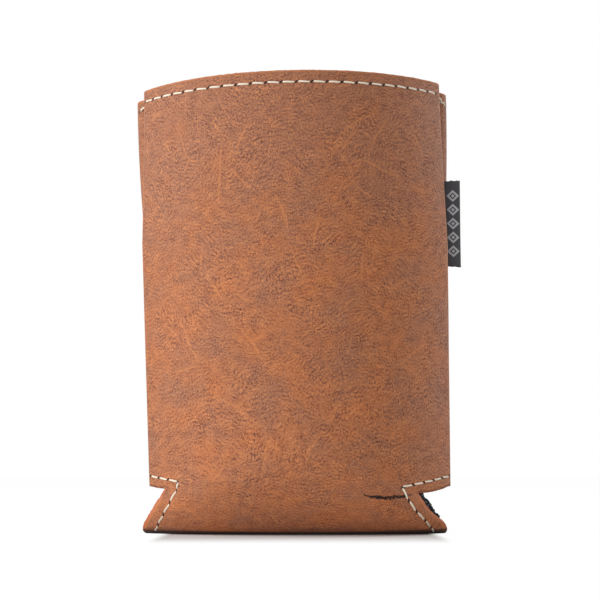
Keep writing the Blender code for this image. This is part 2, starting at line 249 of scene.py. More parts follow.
    def base_outward(self, panel, across, down):
        low = np.maximum(down - SLOPE_STEP, 0.0)
        point, step = self.base_point, SLOPE_STEP
        along = point(panel, across + step, down) - point(panel, across - step, down)
        under = point(panel, across, down + step) - point(panel, across, low)
        outward = np.cross(under, along)
        outward /= np.linalg.norm(outward, axis=-1, keepdims=True)
        return outward * -np.asarray(panel)[..., None]

    def point(self, panel, across, along, depth, rim_drop):
        """A point of a strip: along runs 0 to 1 down the wall and on to 2 at the fold under the base."""
        rim = self.rim_height(panel, across) - rim_drop
        height = rim + (self.wall_bottom(across) - rim) * np.minimum(along, 1.0)
        wall = self.wall_point(panel, across, height, depth)
        down = np.maximum(along - 1, 0.0)
        base = self.base_point(panel, across, down)
        base = base - np.asarray(depth)[..., None] * self.base_outward(panel, across, down)
        return np.where((np.asarray(along) <= 1)[..., None], wall, base)

    def station(self, panel, across, height, depth):
        """A place on a seam line and its outward direction, at a height on the leather's outer face."""
        if height >= self.wall_bottom(across):
            place = self.wall_point(panel, across, height, depth)
            outward = self.wall_point(panel, across, height, depth - SLOPE_STEP) - place
            return place, outward / np.linalg.norm(outward)
        return self.base_station(panel, across, self.down_at(panel, across, height), depth)

    def base_station(self, panel, across, down, depth):
        outward = self.base_outward(np.array(panel), np.array(across), np.array(down))
        return self.base_point(panel, across, down) - depth * outward, outward

    def down_at(self, panel, across, height):
        low, high = 0.0, 1.0
        while high - low > SLOPE_STEP:
            down = (low + high) / 2
            low, high = (down, high) if self.base_point(panel, across, down)[2] > height else (low, down)
        return low

    def valley_across(self, panel, height):
        """Where on its turned edge a top thread leaves this panel."""
        angle = float(self.opening(panel, height))
        return 1 + (VALLEY_TURN - angle) / (math.pi - angle)

    def under_end(self, panel, height):
        """Where on its panel an under thread stops, short of the seam's fin."""
        return 1 - FIN_GAP / (self.arc / 2 * math.sin(float(self.opening(panel, height))))

    def rim_line(self, panel, end, depth, count=90):
        """The line of stitches under a panel's rim, from left to right."""
        places = [end * (2 * i / count - 1) for i in range(count + 1)]
        heights = [float(self.rim_height(panel, across)) - RIM_STITCH_MARGIN for across in places]
        return [self.station(panel, across, height, depth) for across, height in zip(places, heights)]

    def notch_line(self, side, panel, end, depth, count=NOTCH_STATIONS):
        """The line of stitches round half a notch: from the seam to its corner, then to the fold."""
        apex = self.apex[side]
        corner = apex - CORNER_INSET / (self.arc / 2)
        top = self.notch + STITCH_MARGIN
        found = []
        for i in range(count + 1):
            across = end + (corner - end) * i / count
            height = top - STITCH_DROP[side] * (1 - share(across, corner, 1.0))
            found.append(self.station(panel, side * across, height, depth))
        last = apex * (1 - (STITCH_MARGIN + TIP_ROUNDING / 2) / TIP_REACH[side])
        turned = self.down_at(panel, side * corner, top - STITCH_DROP[side])
        for i in range(1, count + 1):
            down = turned + (1 - turned) * i / count
            across = corner + (last - corner) * i / count
            found.append(self.base_station(panel, side * across, down, depth))
        return found


class Seam:
    """A line of stitches: its course, its outward directions, and how far along it each needle hole lies.

    Each run between two corners has whole stitches, and a stitch over a side seam is parted there.
    """

    def __init__(self, stations, pitch, closed=False, corners=(), parted=()):
        stations = stations + (stations[:1] if closed else [])
        self.closed = closed
        self.line = np.array([place for place, _ in stations])
        self.outward = np.array([out for _, out in stations])
        steps = np.linalg.norm(np.diff(self.line, axis=0), axis=1)
        self.travelled = np.concatenate([[0.0], np.cumsum(steps)])
        stops = self.travelled[[0, *corners, -1]]
        holes = [np.linspace(start, end, max(1, round((end - start) / pitch)), endpoint=False)
                 for start, end in zip(stops, stops[1:])]
        holes = np.concatenate(holes) + RIM_LEAD if closed else np.append(np.concatenate(holes), stops[-1])
        self.holes = np.union1d(holes, self.travelled[list(parted)])

    def at_holes(self, values):
        return np.stack([np.interp(self.holes, self.travelled, column) for column in values.T], -1)

    def phase(self, along):
        """Places along the seam counted in stitches, whole at the needle holes."""
        number = np.arange(len(self.holes), dtype=float)
        if not self.closed:
            return np.interp(along, self.holes, number)
        around = [self.holes[-1] - self.travelled[-1], *self.holes, self.holes[0] + self.travelled[-1]]
        return np.interp(along, around, [-1, *number, len(number)])


def seam_lines(form, pitch):
    """The top stitches' seams on the leather, by the CAD node of their thread."""
    outside = -form.thread * 0.1
    front = form.rim_line(FRONT, form.valley_across(FRONT, form.rim), outside)
    back = form.rim_line(BACK, form.valley_across(BACK, form.rim), outside)
    seams = {"rim_top_thread": Seam(front + back[::-1], pitch, closed=True, parted=(0, len(front)))}
    for name, side in (("left", LEFT), ("right", RIGHT)):
        halves = {}
        for panel in (FRONT, BACK):
            line = form.notch_line(side, panel, form.valley_across(panel, form.notch), outside)
            halves[panel] = [at for at in line if at[0][2] > 0.5 * MM]
        stations = halves[FRONT][::-1] + halves[BACK]
        seam = len(halves[FRONT])
        corners = [seam - 1 - NOTCH_STATIONS, seam + NOTCH_STATIONS]
        if side == LEFT:
            corners = [corners[0] - SHORT_STITCH, *corners, corners[1] + SHORT_STITCH]
        seams[name + "_notch_top_thread"] = Seam(stations, pitch, corners=corners, parted=(seam,))
    return seams


def under_lines(form, pitch):
    """The hidden stitches' seams: on the lining's face under the top stitches, and up both seams' fins."""
    inside = form.wall + form.thread * 0.2
    lines = {}
    for name, panel in (("front", FRONT), ("back", BACK)):
        line = form.rim_line(panel, form.under_end(panel, form.rim), inside)
        lines["rim_" + name + "_bobbin_thread"] = line
    for name, side in (("left", LEFT), ("right", RIGHT)):
        end = form.under_end(FRONT, form.notch)
        front = form.notch_line(side, FRONT, end, inside)
        back = form.notch_line(side, BACK, end, inside)
        lines[name + "_notch_bobbin_thread"] = front + back[-2::-1]
        across = side * (2 + SEAM_LINE / SEAM_ALLOWANCE)
        for ending, panel in (("front", FRONT), ("back", BACK)):
            low = form.notch + STITCH_MARGIN / 2
            high = float(form.rim_height(panel, across)) - STITCH_MARGIN / 2
            line = [form.station(panel, across, low + (high - low) * i / 60, inside) for i in range(61)]
            lines[name + "_seam_" + ending + "_thread"] = line
    return {name: Seam([(place, -out) for place, out in line], pitch) for name, line in lines.items()}


def linear(code):
    """An sRGB hex colour as linear red, green and blue."""
    parts = [int(code[i:i + 2], 16) / 255 for i in (1, 3, 5)]
    return [c / 12.92 if c <= 0.04045 else ((c + 0.055) / 1.055) ** 2.4 for c in parts]


def feed(tree, node, sockets):
    """Gives a node's sockets their links and values."""
    for name, value in sockets.items() if isinstance(sockets, dict) else enumerate(sockets):
        if isinstance(value, bpy.types.NodeSocket):
            tree.links.new(value, node.inputs[name])
        else:
            node.inputs[name].default_value = value


def put(tree, kind, sockets=(), out=0, **settings):
    """Adds a node with its settings, values and links, and returns one of its outputs."""
    node = tree.nodes.new(kind)
    for name, value in settings.items():
        setattr(node, name, value)
    feed(tree, node, sockets)
    return node.outputs[out]


def away_from(tree, value, place):
    """How far a node's value is from a place, on either side."""
    signed = put(tree, MATH, (value, place), operation="SUBTRACT")
    return put(tree, MATH, (signed,), operation="ABSOLUTE")


def opaque(colour):
    return (*colour, 1.0)


def blank_material(name):
    made = bpy.data.materials.new(name)
    made.use_nodes = True
    return made, made.node_tree, made.node_tree.nodes["Principled BSDF"]


def leather_material(colours, form, pitch):
    """Pull-up cowhide: vegetable tanned, hot waxed and tumbled.

    The wax sits dark and matte in the pores and breaks to a paler orange on every crease, so the eye
    gets a fine dark speckle, soft brown and orange patches, and pale lines where the hide was bent.
    """
    made, tree, shader = blank_material("pull_up_leather")
    pore, scuff_and_highlight, black = map(opaque, (colours.leather_pore, colours.leather_scuff_and_highlight, colours.leather_hole_and_shade))
    strip = put(tree, "ShaderNodeUVMap", uv_map="strip")

    # The hide's stretch bends every pattern, by 9 mm over 30 mm and by 1.5 mm over 5 mm
    warped = strip
    for size, reach in ((30, 9.0), (5, 1.5)):
        drift = put(tree, NOISE, {"Vector": strip, "Scale": 1 / size, "Detail": 1.0}, 1)
        warped = put(tree, VECTOR, (drift, (reach, reach, 0.0), warped), operation="MULTIPLY_ADD")

    # Growth wrinkles 1.2 mm apart that turn with the hide, and pores of 0.3 to 0.6 mm between them, both
    # stronger in some areas of 9 mm than in others
    turn = put(tree, NOISE, {"Vector": strip, "Scale": 1 / 20, "Detail": 1.0})
    turn = put(tree, MATH, (turn, 5.0, -1.0), operation="MULTIPLY_ADD")
    wrinkles = put(tree, "ShaderNodeTexGabor", {"Vector": warped, "Scale": 1 / 2.4, "Frequency": 2.0,
                                               "Anisotropy": 0.6, "Orientation": turn})
    pores = put(tree, NOISE, {"Vector": warped, "Scale": 1 / 0.45, "Detail": 2.0, "Roughness": 0.7})
    clumps = put(tree, NOISE, {"Vector": warped, "Scale": 1 / 2.6, "Detail": 1.0})
    clumps = put(tree, MATH, (clumps, 0.24, -0.12), operation="MULTIPLY_ADD")
    grain = put(tree, MATH, (wrinkles, 0.27, pores), operation="MULTIPLY_ADD")
    grain = put(tree, MATH, (grain, clumps), operation="ADD")
    force = put(tree, NOISE, {"Vector": strip, "Scale": 1 / 9, "Detail": 1.0})
    force = put(tree, RANGE, (force, 0.35, 0.65, 0.65, 1.0))
    dark = put(tree, RANGE, (grain, 0.63, 0.79, 0.0, force))
    pale = put(tree, RANGE, (grain, 0.6, 0.45, 0.0, force))

    # Patches 5 to 20 mm across where the wax lies thick and grey or thin and orange. The leather turns
    # greyer over the top 52 mm, towards the rims
    patches = put(tree, NOISE, {"Vector": warped, "Scale": 1 / 12, "Detail": 3.0, "Roughness": 0.6})
    patches = put(tree, RANGE, (patches, 0.34, 0.66))
    parts = put(tree, SEPARATE, (strip,)).node.outputs
    from_fold = away_from(tree, parts["Y"], form.strip[1] / MM / 2)
    near_rim_grey = put(tree, RANGE, (from_fold, 104.0, 156.0, 0.0, 0.85))
    patches = put(tree, MATH, (patches, near_rim_grey), operation="SUBTRACT", use_clamp=True)
    tone = put(tree, MIX, {0: patches, 6: opaque(colours.leather_dark), 7: opaque(colours.leather_light)}, 2,
               data_type="RGBA")

    # Single open pores, up to 0.5 mm in radius, in about half of the 3 mm cells
    cells = put(tree, VORONOI, {"Vector": warped, "Scale": 1 / 3.0}, voronoi_dimensions="2D").node.outputs
    pit = put(tree, RANGE, (cells["Color"], 0.5, 0.9, 0.001, 0.16))
    pit = put(tree, RANGE, (cells["Distance"], 0.0, pit, 0.8, 0.0))

    # Creases about 25 mm apart, of which a part shows, and those listed for the front
    faint = put(tree, VORONOI, {"Vector": warped, "Scale": 1 / 25}, voronoi_dimensions="2D",
                feature="DISTANCE_TO_EDGE")
    faint = put(tree, RANGE, (faint, 0.0, 0.4 / 25, 0.5, 0.0))
    shown = put(tree, NOISE, {"Vector": strip, "Scale": 1 / 12, "Detail": 1.0})
    shown = put(tree, RANGE, (shown, 0.5, 0.6))
    faint = put(tree, MATH, (faint, shown), operation="MULTIPLY")
    bent = put(tree, ATTRIBUTE, out=1, attribute_name="crease")
    bent = put(tree, SEPARATE, (bent,)).node.outputs
    placed = away_from(tree, bent["X"], 0.0)
    placed = put(tree, RANGE, (placed, 0.0, 0.45, 0.6, 0.0))
    placed = put(tree, MATH, (placed, bent["Y"]), operation="MULTIPLY")
    crease = put(tree, MATH, (faint, placed), operation="MAXIMUM")

    # The bevelled border of every cut edge, rubbed pale and painted with the highlight its bevel catches,
    # and the raw fibres of the cut itself
    gap = put(tree, ATTRIBUTE, out=2, attribute_name="edge_gap")
    border = put(tree, RANGE, (gap, 0.2, 0.5, 0.6, 0.0))
    # The turned edges at the seams, 3 mm past each panel, are rubbed pale too where the wax breaks on the
    # bend, and painted with the highlight along their rounded side
    turned = away_from(tree, away_from(tree, parts["X"], 0.0), form.arc / MM / 2 + 2.8)
    turned = put(tree, RANGE, (turned, 0.3, 1.6, 0.9, 0.0))
    border = put(tree, MATH, (border, turned), operation="MAXIMUM")
    # The cut edges between 31.5 and 45 mm from the fold are dark instead
    dark_seam_ends = put(tree, RANGE, (from_fold, 31.5, 33.0))
    low = put(tree, MATH, (from_fold, 45.0), operation="LESS_THAN")
    dark_seam_ends = put(tree, MATH, (dark_seam_ends, low), operation="MULTIPLY")
    rubbed_and_highlit = put(tree, MIX, {0: dark_seam_ends, 6: scuff_and_highlight, 7: black}, 2, data_type="RGBA")
    raw = put(tree, ATTRIBUTE, out=2, attribute_name="raw_edge")
    frayed = put(tree, MATH, (pores, 0.8, gap), operation="MULTIPLY_ADD")
    frayed = put(tree, RANGE, (frayed, 0.62, 0.36, 0.0, 0.95))
    raw = put(tree, MATH, (raw, frayed), operation="MAXIMUM")
    fibres = put(tree, MATH, (pores, 1.6), operation="MULTIPLY", use_clamp=True)
    fibres = put(tree, MIX, {0: fibres, 6: pore, 7: opaque(colours.leather_raw)}, 2, data_type="RGBA")

    # Painted shade: the fold it stands on is painted black for the contact shadow under the base,
    # 12 mm to each side
    wear_and_shade = put(tree, RANGE, (from_fold, 14.0, 11.0, 0.0, 0.9), interpolation_type="SMOOTHSTEP")

    # Needle holes 0.8 mm wide and a little slanted, where the stitches go down, painted dark as the shade
    # inside them
    row = put(tree, ATTRIBUTE, out=1, attribute_name="stitch_row")
    row = put(tree, SEPARATE, (row,)).node.outputs
    slanted = put(tree, MATH, (row["Y"], 0.20, row["X"]), operation="MULTIPLY_ADD")
    slanted = put(tree, MATH, (slanted, 0.5), operation="PINGPONG")
    slanted = put(tree, MATH, (slanted, pitch / 0.38), operation="MULTIPLY")
    beside = put(tree, MATH, (row["Y"], 1 / 0.38), operation="MULTIPLY")
    beside = away_from(tree, beside, 0.0)
    hole = put(tree, MATH, (slanted, beside), operation="MAXIMUM")
    hole = put(tree, RANGE, (hole, 0.7, 1.2, 1.0, 0.0))

    # A gouge by the right notch, torn through the waxed face to dark fibres
    torn = put(tree, ATTRIBUTE, out=1, attribute_name="scar")
    torn = put(tree, SEPARATE, (torn,)).node.outputs
    width = put(tree, NOISE, {"Vector": strip, "Scale": 1 / 0.9, "Detail": 3.0, "Roughness": 0.7})
    width = put(tree, MATH, (width, 5.0, -1.7), operation="MULTIPLY_ADD")
    width = put(tree, MATH, (width, torn["Y"]), operation="MULTIPLY")
    depth = put(tree, MATH, (width, away_from(tree, torn["X"], 0.0)), operation="SUBTRACT")
    depth = put(tree, RANGE, (depth, -0.05, 0.25))

    # Each mark lies over the ones before it
    for amount, colour in ((dark, pore), (pale, scuff_and_highlight), (pit, pore), (crease, scuff_and_highlight), (border, rubbed_and_highlit),
                           (raw, fibres), (wear_and_shade, black), (hole, black), (depth, black)):
        tone = put(tree, MIX, {0: amount, 6: tone, 7: colour}, 2, data_type="RGBA")

    # Heights in millimetres
    height = put(tree, MATH, (grain, -0.18), operation="MULTIPLY")
    for mark, low in ((pit, -0.08), (crease, -0.05), (hole, -0.5), (depth, -0.4)):
        height = put(tree, MATH, (mark, low, height), operation="MULTIPLY_ADD")
    normal = put(tree, "ShaderNodeBump", {"Height": height, "Distance": MM})
    gloss = put(tree, RANGE, (grain, 0.5, 0.8, 0.5, 0.7))
    feed(tree, shader, {"Base Color": tone, "Normal": normal, "Roughness": gloss, "Specular IOR Level": 0.22})
    return made


class SleeveSizes(bpy.types.PropertyGroup):
    flat_width: FloatProperty(name="Flat width", description="Width of the sleeve when it lies flat",
                              default=0.104, min=0.09, max=0.12, unit="LENGTH")
    rim_height: FloatProperty(name="Rim height", description="Height of the rim at the middle of the seams",
                              default=0.1351, min=0.1, max=0.17, unit="LENGTH")
    notch_height: FloatProperty(name="Notch height", description="Height of the bottom notches at the seams",
                                default=0.0138, min=0.01, max=0.02, unit="LENGTH")
    leather_thickness: FloatProperty(name="Leather", description="Thickness of the leather",
                                     default=0.0014, min=0.0008, max=0.002, unit="LENGTH")
    lining_thickness: FloatProperty(name="Foam", description="Thickness of the foam lining",
                                    default=0.0020, min=0.001, max=0.004, unit="LENGTH")
    stitch_pitch: FloatProperty(name="Stitch pitch", description="Distance between two needle holes",
                                default=0.0045, min=0.002, max=0.006, unit="LENGTH")
    thread_diameter: FloatProperty(name="Thread", description="Diameter of the sewing thread",
                                   default=0.00057, min=0.0004, max=0.001, unit="LENGTH")
    label_bottom: FloatProperty(name="Label bottom", description="Height of the side label's lower end",
                                default=LABEL_LOW[2], unit="LENGTH")
    label_height: FloatProperty(name="Label height", description="Length of the side label along the seam",
                                default=LABEL_HIGH[2] - LABEL_LOW[2], unit="LENGTH")
    label_thickness: FloatProperty(name="Label thickness", description="Thickness of the folded label",
                                   default=LABEL_HIGH[1] - LABEL_LOW[1], unit="LENGTH")
    label_reach: FloatProperty(name="Label reach", description="How far the label stands out of the seam",
                               default=0.0049, min=0.002, max=0.01, unit="LENGTH")


COLOUR = {"subtype": "COLOR", "min": 0, "max": 1}


class SleeveColours(bpy.types.PropertyGroup):
    leather_light: FloatVectorProperty(name="Leather", description="Orange tan where the wax is thin",
                                       default=linear("#AE693F"), **COLOUR)
    leather_dark: FloatVectorProperty(name="Waxed leather", description="Patches where the wax lies thick",
                                      default=linear("#956248"), **COLOUR)
    leather_pore: FloatVectorProperty(name="Pores", description="Dark wax in the pores",
                                      default=linear("#62372C"), **COLOUR)
    # Also the painted highlight on the cut and turned edges
    leather_scuff_and_highlight: FloatVectorProperty(name="Creases", description="Pale orange where the hide was bent",
                                       default=linear("#C87F4B"), **COLOUR)
    leather_raw: FloatVectorProperty(name="Cut edge", description="Raw fibres on the leather's cut edge",
                                     default=linear("#C4714A"), **COLOUR)
    # Also painted shade: the inside of the needle holes and the fold under the base
    leather_hole_and_shade: FloatVectorProperty(name="Holes", description="The dark inside of needle holes and tears",
                                      default=linear("#2A1815"), **COLOUR)
    thread: FloatVectorProperty(name="Thread", description="The topstitching thread",
                                default=linear("#EBE1CD"), **COLOUR)
    foam: FloatVectorProperty(name="Lining", description="The knit on the foam lining",
                              default=linear("#232326"), **COLOUR)
    tape: FloatVectorProperty(name="Label", description="The label's ground weave",
                              default=linear("#36353B"), **COLOUR)
    motif: FloatVectorProperty(name="Label motif", description="The label's figured weave",
                               default=linear("#B9B9BD"), **COLOUR)


def strip_columns(form, overhang):
    """Columns across a strip, and the two where its base starts and ends."""
    ends = {side: form.apex[side] + overhang[side] / (form.arc / 2) for side in (LEFT, RIGHT)}
    runs = [(-3.0, -2.0, 3), (-2.0, -1.0, 12), (-1.0, -ends[LEFT], 10), (-ends[LEFT], ends[RIGHT], 108),
            (ends[RIGHT], 1.0, 18), (1.0, 2.0, 12), (2.0, 3.0, 3)]
    columns = [np.linspace(start, end, count, endpoint=False) for start, end, count in runs]
    first = sum(len(run) for run in columns[:3])
    return np.append(np.concatenate(columns), 3.0), first, first + len(columns[3])


def strip_rows(wall_rows, base_rows):
    """Rows from the front rim, under the base, to the back rim."""
    half = np.append(np.linspace(0, 1, wall_rows, endpoint=False),
                     np.linspace(1, 2, base_rows, endpoint=False))
    panels = np.concatenate([np.full(len(half), FRONT), [FRONT], np.full(len(half), BACK)])
    return panels, np.concatenate([half, [2.0], half[::-1]])


def strip_piece(form, name, depth, thickness, rim_drop, overhang, rows, ragged, bands):
    """A folded strip as a closed mesh with rounded cut edges, laid out flat in its UV map, in millimetres.

    overhang gives, for each side, places down a notch and how far in mm the strip passes the notch's end
    there; ragged how rough its edges are, and bands how wide the frayed part is on each notch's edge.
    """
    furthest = {side: max(overhang[side][1]) * MM for side in (LEFT, RIGHT)}
    columns, first, last = strip_columns(form, furthest)
    panels, along = strip_rows(*rows)
    across = np.tile(columns, (len(along), 1))
    down = np.maximum(along - 1, 0.0)
    for side, end in ((LEFT, first), (RIGHT, last)):
        within = side * np.arange(len(columns)) <= side * end
        lean = share(columns, columns[end - 8 * side], columns[end]) * within
        back = furthest[side] - np.interp(down, overhang[side][0], overhang[side][1]) * MM
        across = across - side * (back * (along > 1))[:, None] * lean / (form.arc / 2)
    panel = np.broadcast_to(panels[:, None], across.shape)
    run = np.broadcast_to(along[:, None], across.shape)
    outer, inner = (form.point(panel, across, run, np.full(across.shape, deep), rim_drop)
                    for deep in (depth, depth + thickness))

    wall = along <= 1
    in_base = np.zeros(len(columns), bool)
    in_base[first:last + 1] = True
    cells = (wall[:-1] & wall[1:])[:, None] | (in_base[:-1] & in_base[1:])[None, :]
    used = np.zeros(across.shape, bool)
    for r in (slice(0, -1), slice(1, None)):
        for c in (slice(0, -1), slice(1, None)):
            used[r, c] |= cells
    number = np.cumsum(used).reshape(used.shape) - 1
    count = int(used.sum())

    row, column = np.nonzero(cells)
    ring = np.stack([number[row, column], number[row + 1, column], number[row + 1, column + 1],
                     number[row, column + 1]], 1)
    edges = np.concatenate([ring[:, [i, (i + 1) % 4]] for i in range(4)])
    keys = edges[:, 0] * count + edges[:, 1]
    back_keys = edges[:, 1] * count + edges[:, 0]
    border = edges[~np.isin(keys, back_keys)]
    rim_ids = np.unique(border)
    place = np.full(count, -1)
    place[rim_ids] = np.arange(len(rim_ids))

    out_points, in_points = outer[used], inner[used]
    sums = np.zeros((count, 3))
    for corner in range(4):
        np.add.at(sums, ring[:, corner], out_points[ring].mean(1) - out_points[ring[:, corner]])
    inward = sums[rim_ids] / np.linalg.norm(sums[rim_ids], axis=1, keepdims=True)

    steps = np.array([0.10, 0.28, 0.5, 0.72, 0.90])
    band = np.where(run > 1, sided(across, bands), 0.0)[used]
    jagged = np.convolve(np.random.default_rng(7).normal(size=count), np.ones(2) / 2, "same")
    jag = (band * MM * 0.16 * jagged)[rim_ids, None] * inward
    out_points, in_points = out_points.copy(), in_points.copy()
    out_points[rim_ids] += jag
    in_points[rim_ids] += jag
    start, end = out_points[rim_ids], in_points[rim_ids]
    rough = np.random.default_rng(4).normal(size=(len(steps), len(rim_ids)))
    side_points = []
    for step, wobble in zip(steps, rough):
        recess = EDGE_ROUNDING * abs(2 * step - 1) ** 3 + ragged * wobble
        side_points.append(start + (end - start) * step + inward * recess[:, None])
    out_points[rim_ids] += inward * EDGE_ROUNDING
    in_points[rim_ids] += inward * EDGE_ROUNDING
    points = np.concatenate([out_points, in_points] + side_points)

    levels = [rim_ids] + [2 * count + i * len(rim_ids) + np.arange(len(rim_ids)) for i in range(len(steps))]
    levels.append(rim_ids + count)
    sides = []
    for upper, lower in zip(levels, levels[1:]):
        a, b = place[border[:, 0]], place[border[:, 1]]
        sides.append(np.stack([upper[b], upper[a], lower[a], lower[b]], 1))
    faces = np.concatenate([ring, ring[:, ::-1] + count] + sides)

    flat = flat_places(form, across, along, outer)[used]
    flat = np.concatenate([flat, flat] + [flat[rim_ids]] * len(steps))
    raw = np.concatenate([np.zeros(2 * count), np.ones(len(steps) * len(rim_ids))])
    gap = np.full(len(points), 3.0)
    border_points = points[rim_ids]
    for part in np.array_split(np.arange(2 * count), 40):
        gaps = np.linalg.norm(points[part][:, None] - border_points, axis=-1).min(1)
        gap[part] = np.minimum(gaps / MM, 3.0) - band[part % count]

    made = new_mesh(name, points, faces)
    loops = np.empty(len(made.data.loops), np.int32)
    made.data.loops.foreach_get("vertex_index", loops)
    made.data.uv_layers.new(name="strip").data.foreach_set("uv", flat[loops].ravel())
    add_attribute(made, "raw_edge", raw)
    add_attribute(made, "edge_gap", gap)
    return made, slice(0, count), flat[:count]


def flat_places(form, across, along, outer):
    """Where each point of a strip lies on it when flat, in mm: from its middle, and down from the rim."""
    lengths = np.linalg.norm(np.diff(outer, axis=0), axis=-1)
    travelled = np.concatenate([np.zeros((1, across.shape[1])), np.cumsum(lengths, 0)])
    from_back = form.strip[1] - (travelled[-1] - travelled)
    foot, back_foot = (np.abs(along - 1) < 1e-9).nonzero()[0]
    row = np.arange(len(along))[:, None]
    on_base = np.clip((row - foot) / (back_foot - foot), 0.0, 1.0)
    down = np.where(row <= foot, travelled, from_back)
    under = travelled[foot] + (from_back[back_foot] - travelled[foot]) * on_base
    down = np.where((on_base > 0) & (on_base < 1), under, down)
    out = abs(across)
    aside = (np.minimum(out, 1.0) * form.arc / 2 + share(out, 1.0, 2.0) * TURN_ROUND
             + share(out, 2.0, 3.0) * SEAM_ALLOWANCE)
    return np.stack([np.sign(across) * aside, down], -1) / MM


def new_mesh(name, points, faces):
    data = bpy.data.meshes.new(name)
    data.vertices.add(len(points))
    data.vertices.foreach_set("co", np.asarray(points, np.float32).ravel())
    data.loops.add(faces.size)
    data.loops.foreach_set("vertex_index", faces.astype(np.int32).ravel())
    data.polygons.add(len(faces))
    data.polygons.foreach_set("loop_start", np.arange(0, faces.size, faces.shape[1], dtype=np.int32))
    data.update(calc_edges=True)
    data.shade_smooth()
    made = bpy.data.objects.new(name, data)
    bpy.context.scene.collection.objects.link(made)
    return made


def add_attribute(piece, name, values):
    kind, field = ("FLOAT", "value") if values.ndim == 1 else ("FLOAT_VECTOR", "vector")
    layer = piece.data.attributes.new(name, kind, "POINT")
    layer.data.foreach_set(field, np.asarray(values, np.float32).ravel())


def beside_line(points, line, normals, far):
    """For each point its place along a line, its signed distance to the side, and whether it is near."""
    steps = np.diff(line, axis=0)
    squares = (steps**2).sum(1)
    travelled = np.concatenate([[0.0], np.cumsum(np.sqrt(squares))])
    along = np.zeros(len(points))
    off = np.full(len(points), far)
    low, high = line.min(0) - far, line.max(0) + far
    near = np.nonzero(((points > low) & (points < high)).all(1))[0]
    for part in np.array_split(near, max(1, len(near) // 4000)):
        rel = points[part][:, None] - line[None, :-1]
        t = np.clip((rel * steps).sum(-1) / squares, 0.0, 1.0)
        gap = rel - t[..., None] * steps
        best = (gap**2).sum(-1).argmin(1)
        rows = np.arange(len(part))
        gap = gap[rows, best]
        across = np.cross(steps[best], normals[best])
        distance = np.linalg.norm(gap, axis=1)
        off[part] = np.clip(np.where((across * gap).sum(1) < 0, -distance, distance), -far, far)
        along[part] = travelled[best] + t[rows, best] * np.sqrt(squares[best])
    return along, off, travelled[-1]


def stitch_field(form, points, pitch):
    """Where each point lies in the nearest row of stitches: in stitches along it, and in mm beside it."""
    far = 5 * MM
    field = np.zeros((len(points), 3))
    field[:, 1] = far / MM
    for name, seam in seam_lines(form, pitch).items():
        along, off, _ = beside_line(points, seam.line, seam.outward, far)
        if name.startswith("right"):
            off = -off
        closer = abs(off) < abs(field[:, 1]) * MM
        field[closer, 0] = seam.phase(along)[closer]
        field[closer, 1] = off[closer] / MM
    return field


def stroke_field(flat, strokes, far=3.0):
    """For places on the flat strip: the signed distance to the nearest stroke, and its strength there."""
    places = np.column_stack([flat, np.zeros(len(flat))])
    field = np.tile([far, 0.0, 0.0], (len(flat), 1))
    for stroke in strokes:
        line = np.column_stack([np.array(stroke), np.zeros(len(stroke))])
        along, off, length = beside_line(places, line, np.tile([0.0, 0.0, 1.0], (len(line), 1)), far)
        closer = abs(off) < abs(field[:, 0])
        ends = np.sqrt(np.sin(math.pi * np.clip(along / length, 0.0, 1.0)))
        field[closer, 0] = off[closer]
        field[closer, 1] = (ends * (1 - abs(off) / far))[closer]
    return field


